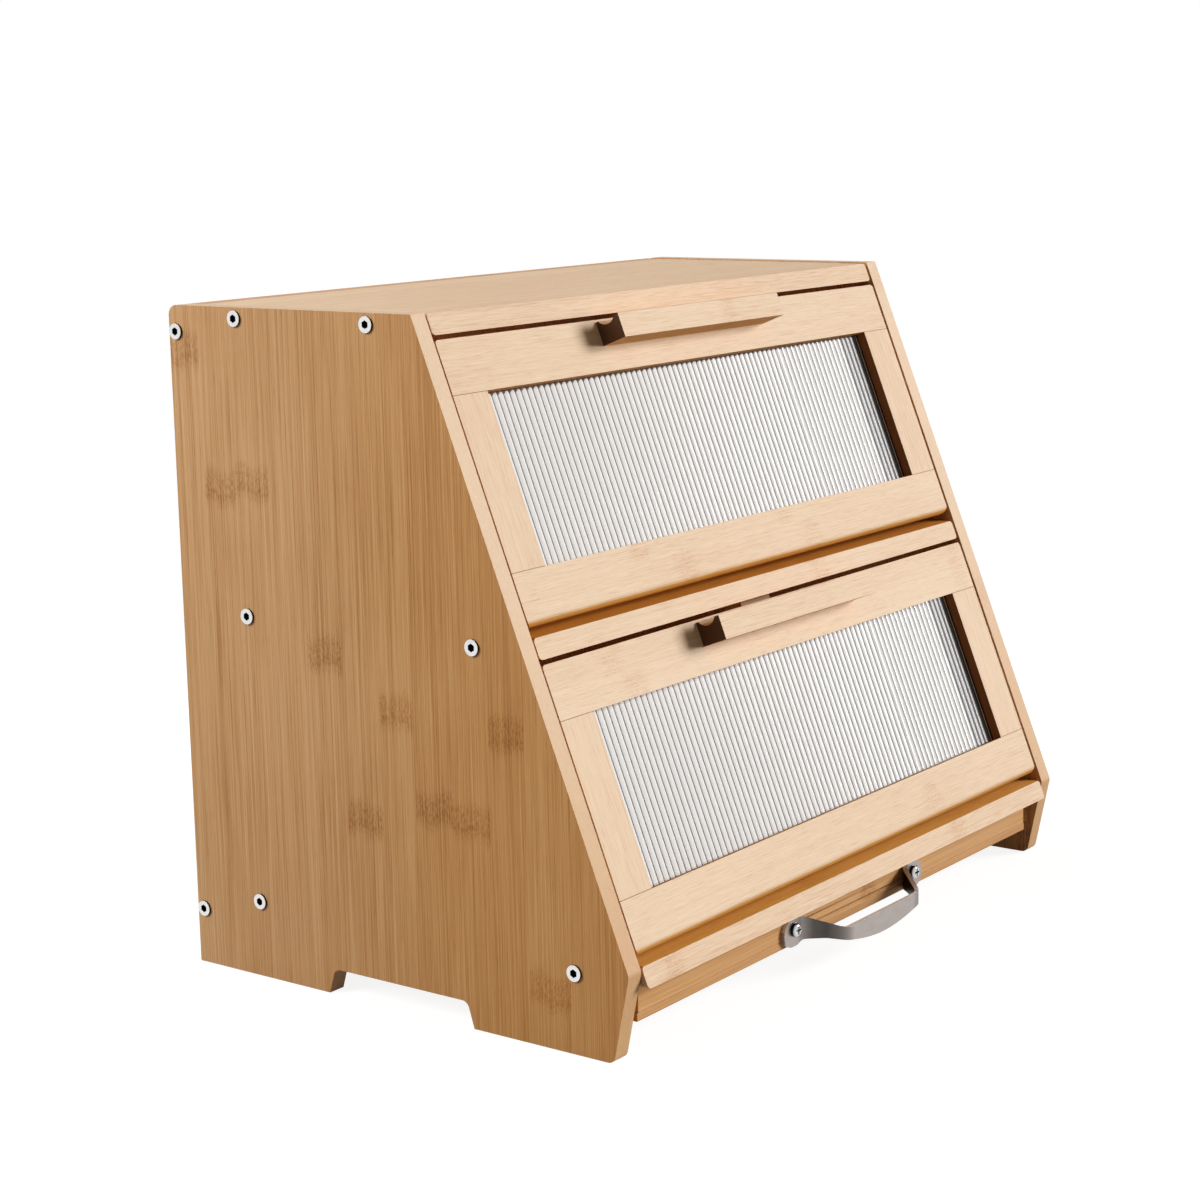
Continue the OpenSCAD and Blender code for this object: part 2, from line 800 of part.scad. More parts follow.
module drawer_pull_screws() {
    color(zinc) at_pull_screws() translate([0, -pull_t, 0]) rotate([0, 0, 180])
        pull_screw();
}

// The same pan-head screw, short enough for the drawer's front
module pull_screw() {
    difference() {
        union() {
            rotate([90, 0, 0]) cylinder(d = screw_d, h = drawer_front_t);
            rod_y(screw_head_d, 0.6 * screw_head_h);
            translate([0, 0.6 * screw_head_h, 0]) rotate([-90, 0, 0])
                cylinder(d1 = screw_head_d, d2 = 0.7 * screw_head_d, h = 0.4 * screw_head_h);
        }
        for (turn = [0, 90]) rotate([0, turn, 0])
            translate([-0.3 * screw_head_d, 0.45 * screw_head_h, -0.5])
                cube([0.6 * screw_head_d, screw_head_h, 1]);
    }
}

left_side_panel();
right_side_panel();
top_board();
middle_shelf();
bottom_shelf();
back_panel();
left_case_bolts();
right_case_bolts();
left_drawer_guide();
right_drawer_guide();
left_drawer_ledge();
right_drawer_ledge();
catch_block(top_board_z, upper_door_s);  // upper_catch_block
catch_block(middle_shelf_z, lower_door_s);  // lower_catch_block
catch_magnet(upper_door_s);  // upper_catch_magnet
catch_magnet(lower_door_s);  // lower_catch_magnet
door_top_rail(upper_door_s);  // upper_door_top_rail
door_bottom_rail(upper_door_s);  // upper_door_bottom_rail
door_stile(upper_door_s, -1);  // upper_door_left_stile
door_stile(upper_door_s, 1);  // upper_door_right_stile
door_pane(upper_door_s);  // upper_door_pane
door_handle(upper_door_s);  // upper_door_handle
door_handle_screws(upper_door_s);  // upper_door_handle_screws
door_strike_plate(upper_door_s);  // upper_door_strike_plate
door_strike_screws(upper_door_s);  // upper_door_strike_screws
door_pivot_pins(upper_door_s);  // upper_door_pivot_pins
door_top_rail(lower_door_s);  // lower_door_top_rail
door_bottom_rail(lower_door_s);  // lower_door_bottom_rail
door_stile(lower_door_s, -1);  // lower_door_left_stile
door_stile(lower_door_s, 1);  // lower_door_right_stile
door_pane(lower_door_s);  // lower_door_pane
door_handle(lower_door_s);  // lower_door_handle
door_handle_screws(lower_door_s);  // lower_door_handle_screws
door_strike_plate(lower_door_s);  // lower_door_strike_plate
door_strike_screws(lower_door_s);  // lower_door_strike_screws
door_pivot_pins(lower_door_s);  // lower_door_pivot_pins
drawer_front();
drawer_left_side();
drawer_right_side();
drawer_back();
drawer_bottom();
drawer_pull();
drawer_pull_screws();
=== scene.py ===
"""Looks for the two-bay bamboo bread box: materials, camera, light and floor in the CAD frame."""
import math

import bpy
from mathutils import Matrix, Vector


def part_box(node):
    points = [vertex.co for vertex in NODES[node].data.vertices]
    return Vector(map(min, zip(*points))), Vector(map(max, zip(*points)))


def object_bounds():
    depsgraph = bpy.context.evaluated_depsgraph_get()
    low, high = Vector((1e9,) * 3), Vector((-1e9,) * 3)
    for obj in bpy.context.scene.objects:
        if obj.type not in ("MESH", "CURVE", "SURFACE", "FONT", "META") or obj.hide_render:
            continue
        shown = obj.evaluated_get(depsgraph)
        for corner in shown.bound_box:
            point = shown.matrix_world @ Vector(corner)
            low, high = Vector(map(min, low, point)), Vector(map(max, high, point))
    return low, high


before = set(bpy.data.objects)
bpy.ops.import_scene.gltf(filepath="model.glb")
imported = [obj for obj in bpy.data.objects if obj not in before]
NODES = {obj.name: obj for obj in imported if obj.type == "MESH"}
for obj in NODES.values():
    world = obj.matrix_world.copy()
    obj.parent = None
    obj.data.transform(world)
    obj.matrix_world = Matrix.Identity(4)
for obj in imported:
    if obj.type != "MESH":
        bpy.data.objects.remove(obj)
CAD_BOX = [list(corner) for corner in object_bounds()]

MM = 0.001
MM_PER_M = 1000.0
X, Y, Z = Vector((1, 0, 0)), Vector((0, 1, 0)), Vector((0, 0, 1))

# The front leans back from upright by this angle. UP_SLOPE runs up it, and INWARD is square to it
LEAN = math.radians(21.66)
UP_SLOPE = Vector((0, math.sin(LEAN), math.cos(LEAN)))
INWARD = Vector((0, math.cos(LEAN), -math.sin(LEAN)))


def linear(hex_colour):
    """A colour written as six hex digits, as linear RGBA."""
    out = []
    for k in (0, 2, 4):
        c = int(hex_colour[k:k + 2], 16) / 255
        out.append(c / 12.92 if c <= 0.04045 else ((c + 0.055) / 1.055) ** 2.4)
    return (*out, 1.0)


class Tree:
    """Builds a material's nodes with short calls. A value may be a number or a node's socket."""

    def __init__(self, name):
        self.material = bpy.data.materials.new(name)
        self.material.use_nodes = True
        self.tree = self.material.node_tree
        self.tree.nodes.clear()
        place = self.node("ShaderNodeTexCoord")
        self.object, self.normal = place.outputs["Object"], place.outputs["Normal"]

    def node(self, kind, **settings):
        n = self.tree.nodes.new(kind)
        for key, value in settings.items():
            setattr(n, key, value)
        return n

    def put(self, socket, value):
        if isinstance(value, bpy.types.NodeSocket):
            self.tree.links.new(value, socket)
        else:
            socket.default_value = value

    def math(self, operation, a, b=0.0, c=0.0, clamp=False):
        n = self.node("ShaderNodeMath", operation=operation, use_clamp=clamp)
        for socket, value in zip(n.inputs, (a, b, c)):
            self.put(socket, value)
        return n.outputs[0]

    def add(self, a, b):
        return self.math("ADD", a, b)

    def mul(self, a, b):
        return self.math("MULTIPLY", a, b)

    def dot(self, vector, direction):
        n = self.node("ShaderNodeVectorMath", operation="DOT_PRODUCT")
        self.put(n.inputs[0], vector)
        n.inputs[1].default_value = direction
        return n.outputs["Value"]

    def along(self, direction):
        """Distance along a direction, in millimetres."""
        return self.mul(self.dot(self.object, direction), MM_PER_M)

    def vector(self, x, y, z):
        n = self.node("ShaderNodeCombineXYZ")
        for socket, value in zip(n.inputs, (x, y, z)):
            self.put(socket, value)
        return n.outputs[0]

    def noise(self, vector, detail=2.0, rough=0.5):
        n = self.node("ShaderNodeTexNoise")
        self.put(n.inputs["Vector"], vector)
        n.inputs["Scale"].default_value = 1.0
        n.inputs["Detail"].default_value = detail
        n.inputs["Roughness"].default_value = rough
        return n.outputs["Fac"]

    def white(self, vector):
        n = self.node("ShaderNodeTexWhiteNoise", noise_dimensions="3D")
        self.put(n.inputs["Vector"], vector)
        return n.outputs["Value"]

    def step(self, value, low, high, to_low=0.0, to_high=1.0):
        """A smooth step from to_low at low to to_high at high."""
        n = self.node("ShaderNodeMapRange", interpolation_type="SMOOTHSTEP")
        self.put(n.inputs["Value"], value)
        for key, v in (("From Min", low), ("From Max", high),
                       ("To Min", to_low), ("To Max", to_high)):
            n.inputs[key].default_value = v
        return n.outputs["Result"]

    def ramp(self, value, stops, mode="LINEAR"):
        n = self.node("ShaderNodeValToRGB")
        n.color_ramp.interpolation = mode
        points = n.color_ramp.elements
        while len(points) < len(stops):
            points.new(0.5)
        for point, (place, colour) in zip(points, stops):
            point.position = place
        for point, (place, colour) in zip(points, stops):
            point.color = colour if len(colour) == 4 else (*colour, 1.0)
        self.put(n.inputs["Fac"], value)
        return n.outputs["Color"]

    def mix(self, factor, a, b, blend="MIX"):
        n = self.node("ShaderNodeMix", data_type="RGBA", blend_type=blend)
        self.put(n.inputs["Factor"], factor)
        colours = [s for s in n.inputs if s.type == "RGBA"]
        self.put(colours[0], a)
        self.put(colours[1], b)
        return [s for s in n.outputs if s.type == "RGBA"][0]

    def shade(self, **inputs):
        """A Principled shader on the output, with the bump height given in millimetres."""
        height = inputs.pop("height", None)
        n = self.node("ShaderNodeBsdfPrincipled")
        for key, value in inputs.items():
            self.put(n.inputs[key.replace("_", " ")], value)
        if height is not None:
            bump = self.node("ShaderNodeBump")
            bump.inputs["Distance"].default_value = MM
            self.put(bump.inputs["Height"], height)
            self.tree.links.new(bump.outputs[0], n.inputs["Normal"])
        out = self.node("ShaderNodeOutputMaterial")
        self.tree.links.new(n.outputs[0], out.inputs["Surface"])
        return self.material


# ---- Bamboo ----

SIDE = ("a56c3a", "d59f6a", "e9bd8c")
FRONT = ("c99563", "e9caa7", "f6debf")
DRAWER = ("a06a36", "d19d64", "e4b984")
# Painted shade for cut edges near the ground, then the tint of the fibres' cut ends, and of fine
# joint lines
LOW_EDGE_SHADE = (0.84, 0.70, 0.52, 1.0)
CUT_END, CUT_END_SHARE = "6e4018", 0.2
JOINT_LINE = "7a4a22"
# In millimetres: a strip's width, the distance between node marks that no list places, and the
# width of panel that a list of marks may cover
STRIP, MARK_EVERY, MARK_SPAN = 20.8, 260.0, 400.0
FAR_OFF = 1000.0
# How much lines, hairs, broad bands, clouds, strips and vessels count in a piece's tone
BOLD = (0.88, 0.90, 0.34, 0.28, 0.12, 0.12)
EVEN = (0.55, 0.70, 0.26, 0.26, 0.10, 0.10)
FINE = (0.26, 0.95, 0.16, 0.24, 0.10, 0.14)


def tone_ramp(t, tone, colours):
    dark, middle, light = (linear(colour) for colour in colours)
    return t.ramp(tone, [(0.1, dark), (0.55, middle), (0.95, light)])


def mark_distance(t, u, v, chance, phase, marks, spots):
    """How far a point is along the fibres from its node mark, and whether its strip has one."""
    if spots is not None:
        distance = FAR_OFF
        for low, high, place in spots:
            outside = t.math("ABSOLUTE", t.math("SUBTRACT", v, (low + high) / 2))
            outside = t.mul(t.math("GREATER_THAN", outside, (high - low) / 2), FAR_OFF)
            away = t.math("ABSOLUTE", t.math("SUBTRACT", u, place))
            distance = t.math("MINIMUM", distance, t.add(away, outside))
        return distance, 1.0
    if marks is None:
        turn = t.math("DIVIDE", t.add(u, t.mul(chance, MARK_EVERY)), MARK_EVERY)
        return t.mul(t.math("SUBTRACT", t.math("FRACT", turn), 0.5), MARK_EVERY), 1.0
    heights = [(start / MARK_SPAN, (height / MARK_SPAN,) * 3) for start, height in marks]
    shown = [(start / MARK_SPAN, (1.0 if height else 0.0,) * 3) for start, height in marks]
    fac = t.math("DIVIDE", t.add(v, phase), MARK_SPAN)
    height = t.mul(t.dot(t.ramp(fac, heights, "CONSTANT"), X), MARK_SPAN)
    return t.math("SUBTRACT", u, height), t.dot(t.ramp(fac, shown, "CONSTANT"), X)


def node_mark(t, distance, present, curl, comb, flecks, depth):
    """How dark a node mark is: a patch of flecks and a fine line, combed out at both ends."""
    bent = t.add(distance, t.mul(t.math("SUBTRACT", curl, 0.5), 10.0))
    reach = t.add(t.math("ABSOLUTE", bent), t.mul(t.math("SUBTRACT", comb, 0.5), 16.0))
    patch = t.step(reach, 4.0, 11.0, 1.0, 0.0)
    line = t.step(t.math("ABSOLUTE", t.add(bent, 3.0)), 0.3, 3.0, 1.0, 0.0)
    fleck = t.step(flecks, 0.47, 0.60)
    pale = t.step(flecks, 0.44, 0.32)
    mark = t.mul(patch, t.math("MULTIPLY_ADD", fleck, 0.62, 0.30))
    mark = t.math("SUBTRACT", mark, t.mul(t.mul(patch, pale), 0.22))
    mark = t.math("MULTIPLY_ADD", line, 0.18, mark)
    return t.mul(t.mul(mark, present), 0.40 * depth)


def bamboo(name, grain, across, tones, seed=0.0, strip=STRIP, phase=0.0, marks=None, spots=None,
           edges=None, mark_depth=1.0, grade=BOLD, faces=(), joints=(), fade=None):
    """Laminated bamboo: strips side by side, with fine straight fibres and speckled node marks.

    grain and across are the directions along the fibres and across the strips. strip is a strip's
    width, and phase shifts where the strips start. marks, where given, lists (strip's start, node
    mark's height or 0) in millimetres, and spots lists (from, to, place) of marks that cross only
    part of the piece. edges, where given, is the tones of the faces that aren't square to grain x
    across, such as a panel's cut edges, with painted shade towards the ground. faces lists
    (direction, start, tint) of painted shade on faces that turn towards a direction, and a limit
    (direction, from, to) there is where that shade fades out. joints lists (direction, place) of
    fine dark joint lines, and fade is (direction, from, to, tint, tint) for painted shade that
    drifts across the piece.
    """
    t = Tree(name)
    deep = grain.cross(across)
    u, v, w = t.along(grain), t.along(across), t.along(deep)

    # Which strip a point lies in, and two random numbers of that strip
    ratio = t.math("DIVIDE", t.add(v, phase), strip)
    index = t.math("FLOOR", ratio)
    chance = t.white(t.vector(index, seed, 0.5))
    chance_2 = t.white(t.vector(index, seed, 7.5))
    frac = t.math("SUBTRACT", ratio, index)
    edge = t.math("MINIMUM", frac, t.math("SUBTRACT", 1.0, frac))
    seam = t.step(t.mul(edge, strip), 0.0, 0.4, 1.0, 0.0)

    # Fibres start at a random place of their strip's own
    us = t.add(u, t.mul(chance, 400.0))

    def fibres(stretch, width, detail=2.0, rough=0.5):
        """Noise drawn out along the grain."""
        place = t.vector(t.mul(us, stretch), t.mul(v, width), t.mul(w, width))
        return t.noise(place, detail, rough)

    # Broad bands, long pale and dark lines, finer hair lines, short dark vessels and clouds of tone
    broad = fibres(0.004, 0.16)
    lines = fibres(0.0055, 0.85 if grade is BOLD else 0.62, 2.0, 0.6)
    hairs = fibres(0.055 if grade is FINE else 0.02, 2.2, 2.0, 0.6)
    vessels = fibres(0.11, 2.6, 1.0)
    cloud = t.noise(t.vector(t.mul(u, 0.010), t.mul(v, 0.014), t.add(t.mul(w, 0.014), seed)))

    # Node marks
    comb = t.noise(t.vector(seed, t.mul(v, 1.2), t.mul(w, 1.2)), 2.0, 0.7)
    curl = t.noise(t.vector(t.mul(u, 0.02), t.mul(v, 0.10), t.mul(chance, 90.0)), 1.0)
    flecks = fibres(0.42, 1.35, 2.0, 0.6)
    distance, present = mark_distance(t, u, v, chance_2, phase, marks, spots)
    mark = node_mark(t, distance, present, curl, comb, flecks, mark_depth)

    # All of it together as one tone from dark to light
    tone = 0.55
    for pattern, share in zip((lines, hairs, broad, cloud, chance), grade):
        tone = t.math("MULTIPLY_ADD", t.math("SUBTRACT", pattern, 0.5), share, tone)
    vessel = t.step(vessels, 0.60, 0.72)
    tone = t.math("MULTIPLY_ADD", vessel, -grade[5], tone)
    tone = t.math("MULTIPLY_ADD", seam, -0.04, tone)
    tone = t.math("SUBTRACT", tone, mark, clamp=True)
    colour = tone_ramp(t, tone, tones)
    # Painted shade: a tint that drifts across the piece
    if fade:
        direction, start, stop, tint_a, tint_b = fade
        tint = t.mix(t.step(t.along(direction), start, stop), tint_a, tint_b)
        colour = t.mix(1.0, colour, tint, "MULTIPLY")
    if edges:
        # A panel's cut edges are smoother, and painted shade darkens them towards the ground
        calm = t.math("MULTIPLY_ADD", t.math("SUBTRACT", tone, 0.55), 0.3, 0.55)
        low = t.step(t.along(Z), 20.0, 240.0, 1.0, 0.0)
        on_edge = t.mix(low, tone_ramp(t, calm, edges), LOW_EDGE_SHADE, "MULTIPLY")
        facing = t.math("ABSOLUTE", t.dot(t.normal, deep))
        colour = t.mix(t.step(facing, 0.55, 0.85), on_edge, colour)

    # The fibres' cut ends take more of the finish, and are darker
    cut = t.step(t.math("ABSOLUTE", t.dot(t.normal, grain)), 0.75, 0.98)
    colour = t.mix(t.mul(cut, CUT_END_SHARE), colour, linear(CUT_END))
    # Painted shade: tints on faces that turn towards a direction, fading out past a limit
    for direction, start, tint, *limits in faces:
        turned = t.step(t.dot(t.normal, direction), start, start + 0.25)
        for way, near, far in limits:
            turned = t.mul(turned, t.step(t.along(way), near, far, 1.0, 0.0))
        colour = t.mix(turned, colour, (*tint, 1.0), "MULTIPLY")
    for direction, place in joints:
        away = t.math("ABSOLUTE", t.math("SUBTRACT", t.along(direction), place))
        colour = t.mix(t.step(away, 0.15, 0.5, 0.75, 0.0), colour, linear(JOINT_LINE))

    rough = t.math("MULTIPLY_ADD", hairs, 0.16, 0.44)
    height = t.add(t.mul(lines, 0.04), t.mul(hairs, 0.035))
    height = t.math("MULTIPLY_ADD", vessel, -0.02, height)
    height = t.math("MULTIPLY_ADD", mark, 0.05, height)
    return t.shade(Base_Color=colour, Roughness=rough, height=height, Specular_IOR_Level=0.2)


# Strips of the left panel from the rear edge on, as (start, height of the strip's node mark or 0)
LEFT_MARKS = [(0, 304), (18, 240), (39, 244), (60, 0), (81, 166), (103, 90), (124, 144), (145, 101),
              (166, 98), (188, 142), (209, 26), (232, 0)]

REAR_EDGE = CAD_BOX[1][1] * MM_PER_M


# ---- Metal and acrylic ----

# Half the width, in millimetres, that shade_along may cover
SHADE_SPAN = 100.0
# Painted shade inside a socket, a painted highlight on the pull's upward edges, and the painted
# reflection that tints the inner side of the pull's right leg
SOCKET_SHADE, RIM_HIGHLIGHT, LEG_INSIDE_REFLECTION = "17181c", "fffcf8", (0.34, 0.25, 0.18, 1.0)


def steel(name, colour, rough, sunk=None, shade_along=None, pull=False):
    """Steel with a fine grain along x.

    sunk is (axis, place, fall in mm): painted shade turns surfaces that lie further in, such as
    sockets, dark.
    shade_along lists (distance from the middle in mm, tone) for a painted reflection that changes
    along x.
    pull is for the drawer's brushed pull, whose upward edges carry a painted highlight.
    """
    t = Tree(name)
    a, b, c = t.along(X), t.along(-Y), t.along(Z)
    hair = t.noise(t.vector(t.mul(a, 0.06), t.mul(b, 7.0), t.mul(c, 7.0)), 2.0, 0.6)
    smear = t.noise(t.vector(t.mul(a, 0.12), t.mul(b, 0.35), t.mul(c, 0.35)))
    full = linear(colour)
    dark = (*(0.78 * k for k in full[:3]), 1.0)
    tone = t.math("MULTIPLY_ADD", t.math("SUBTRACT", hair, 0.5), 1.2, smear, clamp=True)
    base = t.mix(tone, dark, full)
    # Painted reflection: a tone that changes along x
    if shade_along:
        place = t.math("DIVIDE", t.math("ABSOLUTE", t.along(X)), SHADE_SPAN)
        band = t.ramp(place, [(at / SHADE_SPAN, (k,) * 3) for at, k in shade_along])
        base = t.mix(1.0, base, band, "MULTIPLY")
    # Painted shade: surfaces further in than the given place turn dark
    if sunk is not None:
        axis, at, fall = sunk
        depth = t.along(axis)
        depth = t.math("ABSOLUTE", depth) if abs(axis.x) > 0.5 else depth
        base = t.mix(t.step(depth, at - fall, at - 0.12, 1.0, 0.0), base, linear(SOCKET_SHADE))
    metallic = 1.0
    if pull:
        # Painted reflection: the inner side of the right leg darkens, as if it showed only the dark
        # gap behind it
        inner = t.mul(t.step(t.dot(t.normal, -X), 0.25, 0.6), t.step(t.along(X), 20.0, 30.0))
        base = t.mix(inner, base, LEG_INSIDE_REFLECTION, "MULTIPLY")
        # Painted highlight: upward edges turn pale and less metallic
        top = t.step(t.dot(t.normal, Z), 0.2, 0.5)
        base = t.mix(top, base, linear(RIM_HIGHLIGHT))
        metallic = t.math("MULTIPLY_ADD", top, -0.75, 1.0)
    roughness = t.math("MULTIPLY_ADD", hair, 0.22, rough - 0.11)
    height = t.mul(hair, 0.012)
    return t.shade(Base_Color=base, Metallic=metallic, Roughness=roughness, height=height,
                   Anisotropic=0.5 if pull else 0.0)


RIB_PITCH = 4.33
# Widths of the zones at a pane's right end, from the stile: painted crest lines, and painted dark
# ribs
CREST_ZONE, DARK_ZONE = 83.0, 19.0
PANE_WHITE, RIB_SHADE_BAND = ("f8f6f5", "fdfcfb"), "eeebea"
REFRACTED_DARK_RIB, RAIL_SHADOW_COLOUR = "1a120e", "472c1a"


def ribbed_acrylic(name, right_edge, top_edge, line, rail_shadow):
    """Ribbed acrylic that looks milky, with painted rib shading: ribs of white and a paler band
    between thin dark lines.

    line is the colour of the painted lines, and the last argument scales how far the painted shadow
    of the top rail runs dark down the valleys.
    """
    t = Tree(name)
    x, up = t.along(X), t.along(UP_SLOPE)
    phase = t.math("FRACT", t.math("DIVIDE", x, RIB_PITCH))
    haze = t.noise(t.vector(t.mul(x, 0.05), t.mul(up, 0.04), 0.0))
    pale = t.mix(haze, *(linear(white) for white in PANE_WHITE))
    # Painted rib shading: a paler band across each rib
    base = t.mix(t.step(phase, 0.34, 0.62), pale, linear(RIB_SHADE_BAND))
    # Painted rib shading: towards the right the lines move from the valleys to the crests
    crests = t.step(x, right_edge - CREST_ZONE, right_edge - CREST_ZONE + 4.0)
    valley = t.mul(t.step(phase, 0.06, 0.11, 1.0, 0.0), t.math("SUBTRACT", 1.0, crests))
    base = t.mix(valley, base, linear(line))
    bulge = t.math("MULTIPLY_ADD", t.math("SINE", t.mul(phase, math.pi)), 0.33, phase)
    from_crest = t.math("ABSOLUTE", t.math("SUBTRACT", bulge, 0.5))
    base = t.mix(t.mul(t.step(from_crest, 0.05, 0.14, 1.0, 0.0), crests), base, linear(line))
    # Painted refraction: beside the right stile each rib bends the view onto the dark wood next to
    # it, painted as dark ribs
    dim = t.math("DIVIDE", t.math("SUBTRACT", x, right_edge - DARK_ZONE), DARK_ZONE, clamp=True)
    wide = t.math("SUBTRACT", from_crest, t.math("MULTIPLY_ADD", dim, 0.02, 0.36))
    dark = t.mul(t.step(wide, -0.04, 0.04, 1.0, 0.0), t.step(dim, -0.05, 0.1))
    base = t.mix(dark, base, linear(REFRACTED_DARK_RIB))
    # Painted shadow: the valleys run dark under the top rail
    if rail_shadow:
        middle = t.math("ABSOLUTE", t.math("MULTIPLY_ADD", phase, 2.0, -1.0))
        shorter = t.step(x, -right_edge, right_edge, rail_shadow, 0.4 * rail_shadow)
        reach = t.math("MULTIPLY_ADD", t.mul(middle, middle), t.mul(shorter, 2.0), 0.5)
        below = t.math("SUBTRACT", top_edge, up)
        covered = t.step(t.math("SUBTRACT", below, reach), -0.3, 0.3, 1.0, 0.0)
        base = t.mix(covered, base, linear(RAIL_SHADOW_COLOUR))
    # Both sides of the body take the light as a flat sheet, and only the coat follows the ribs
    side = t.math("SIGN", t.dot(t.normal, -INWARD))
    flat = t.node("ShaderNodeVectorTransform", vector_type="NORMAL", convert_from="OBJECT",
                  convert_to="WORLD")
    t.put(flat.inputs[0], t.vector(*(t.mul(side, k) for k in -INWARD)))
    return t.shade(Base_Color=base, Roughness=0.4, Specular_IOR_Level=0.1, IOR=1.49,
                   Coat_Weight=0.5, Coat_Roughness=0.16, Normal=flat.outputs[0])


# ---- Which node wears what ----

def wear(node, material):
    slots = NODES[node].data.materials
    slots.clear()
    slots.append(material)


def edge_mm(node, corner, axis):
    """One side of a node's box, in millimetres: corner 0 is the low one, axis 0, 1 or 2."""
    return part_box(node)[corner][axis] * MM_PER_M


def span(node, direction):
    """How far a node reaches along a direction, in millimetres."""
    places = [direction.dot(v.co) * MM_PER_M for v in NODES[node].data.vertices]
    return min(places), max(places)


# Painted shade, as linear colours: tints for faces that the photo shows darker or more orange in
# shade
ORANGE_SHADE = (0.82, 0.53, 0.16)
RECESS_SHADE = (0.42, 0.25, 0.14)
HANDLE_END_SHADE = (0.115, 0.063, 0.032)
TOP_SHADE_TINTS = {"top_board": (0.92, 0.90, 0.87),
             "middle_shelf": (0.80, 0.46, 0.10),
             "bottom_shelf": (1.05, 0.76, 0.27)}
REAR_SHADE_TINT, FRONT_SHADE_TINT = (0.96, 1.02, 1.08, 1.0), (0.90, 0.85, 0.68, 1.0)

# Painted shade: the left panel turns darker and warmer towards its front edge
wear("left_side_panel", bamboo("bamboo_left_side", Z, -Y, SIDE, seed=3.0, phase=REAR_EDGE,
                               marks=LEFT_MARKS, edges=FRONT, mark_depth=0.8,
                               fade=(-Y, -85.0, 75.0, REAR_SHADE_TINT, FRONT_SHADE_TINT)))
wear("right_side_panel", bamboo("bamboo_right_side", Z, -Y, SIDE, seed=11.0, phase=REAR_EDGE,
                                edges=FRONT))
wear("back_panel", bamboo("bamboo_back", Z, X, SIDE, seed=19.0))
# Painted shade: the top board's top a little darker, the shelves' tops more orange near the front,
# and all undersides darker and more orange
for k, (node, top_shade) in enumerate(TOP_SHADE_TINTS.items()):
    front = edge_mm(node, 0, 1)
    shade_limit = [(Y, front + 20.0, front + 45.0)] if node.endswith("shelf") else []
    wear(node, bamboo("bamboo_" + node, X, Y, FRONT, seed=23.0 + k, grade=FINE, mark_depth=0.5,
                      spots=[] if node == "top_board" else None,
                      faces=[(Z, 0.6, top_shade, *shade_limit), (-Z, 0.6, ORANGE_SHADE)]))
for k, node in enumerate(("left_drawer_guide", "right_drawer_guide",
                          "left_drawer_ledge", "right_drawer_ledge")):
    wear(node, bamboo("bamboo_" + node, Y, X, DRAWER, seed=31.0 + k))
# Node marks of the rails: (from, to, place along x), measured up the slope
RAIL_SPOTS = {
    "upper_top_rail": [],
    "upper_bottom_rail": [(167, 176, -95), (167, 176, 31), (150, 167, -63), (150, 167, 51)],
    "upper_handle": [(271, 284, 22)],
    "lower_top_rail": [(119, 134, -142), (106, 119, -129), (106, 134, 178)],
    "lower_bottom_rail": [(2, 17, 80)],
    "lower_handle": [],
}
for k, door in enumerate(("upper", "lower")):
    wear(door + "_catch_block", bamboo(f"bamboo_{door}_catch", X, Y, DRAWER, seed=41.0 + k))
    for j, part in enumerate(("top_rail", "bottom_rail", "handle")):
        handle = part == "handle"
        # Painted shade: the undersides, and the upper sides of bottom rails and handles, darker and
        # more orange
        turned = [(-UP_SLOPE, 0.5 if handle else 0.3, ORANGE_SHADE)]
        if part != "top_rail":
            turned.append((UP_SLOPE, 0.6, ORANGE_SHADE))
        if handle:
            # Painted shade: both ends of each handle turn dark brown
            turned += [(X, 0.6, HANDLE_END_SHADE), (-X, 0.6, HANDLE_END_SHADE)]
        wear(f"{door}_door_{part}",
             bamboo(f"bamboo_{door}_{part}", X, UP_SLOPE, FRONT, seed=47.0 + 3 * k + j, strip=30.0,
                    spots=RAIL_SPOTS[f"{door}_{part}"], mark_depth=0.42, grade=FINE, faces=turned))
    for j, part in enumerate(("left_stile", "right_stile")):
        node = f"{door}_door_{part}"
        to_pane = X if part == "left_stile" else -X
        # Painted shade on each stile's inner side, in the recess beside the pane
        wear(node, bamboo(f"bamboo_{door}_{part}", UP_SLOPE, X, FRONT, seed=61.0 + 2 * k + j,
                          grade=FINE, spots=[], faces=[(to_pane, 0.6, RECESS_SHADE)],
                          joints=[(UP_SLOPE, place) for place in span(node, UP_SLOPE)]))
for k, node in enumerate(("drawer_front", "drawer_back", "drawer_bottom")):
    across = Y if node == "drawer_bottom" else Z
    wear(node, bamboo("bamboo_" + node, X, across, DRAWER, seed=71.0 + k, grade=EVEN))
for k, node in enumerate(("drawer_left_side", "drawer_right_side")):
    wear(node, bamboo("bamboo_" + node, Y, Z, DRAWER, seed=79.0 + k))

BOLTS = steel("zinc_bolts", "ececec", 0.22, sunk=(X, -edge_mm("left_case_bolts", 0, 0), 0.3))
SCREWS = steel("zinc_screws", "d9dadc", 0.24)
PULL_SCREWS = steel("zinc_pull_screws", "dcdcdc", 0.2,
                    sunk=(-Y, -edge_mm("drawer_pull_screws", 0, 1), 1.6))
PLAIN = steel("plain_steel", "b9babd", 0.34)
NICKEL = steel("nickel", "c9c8c4", 0.2)
# Painted reflection: the pull darkens along its legs
PULL = steel("brushed_pull", "b4aba6", 0.36, pull=True,
             shade_along=[(0, 1.0), (28, 1.0), (33, 0.62), (38, 0.3), (42, 0.16), (46, 0.22),
                          (50, 0.55), (54, 1.0), (66, 0.95)])
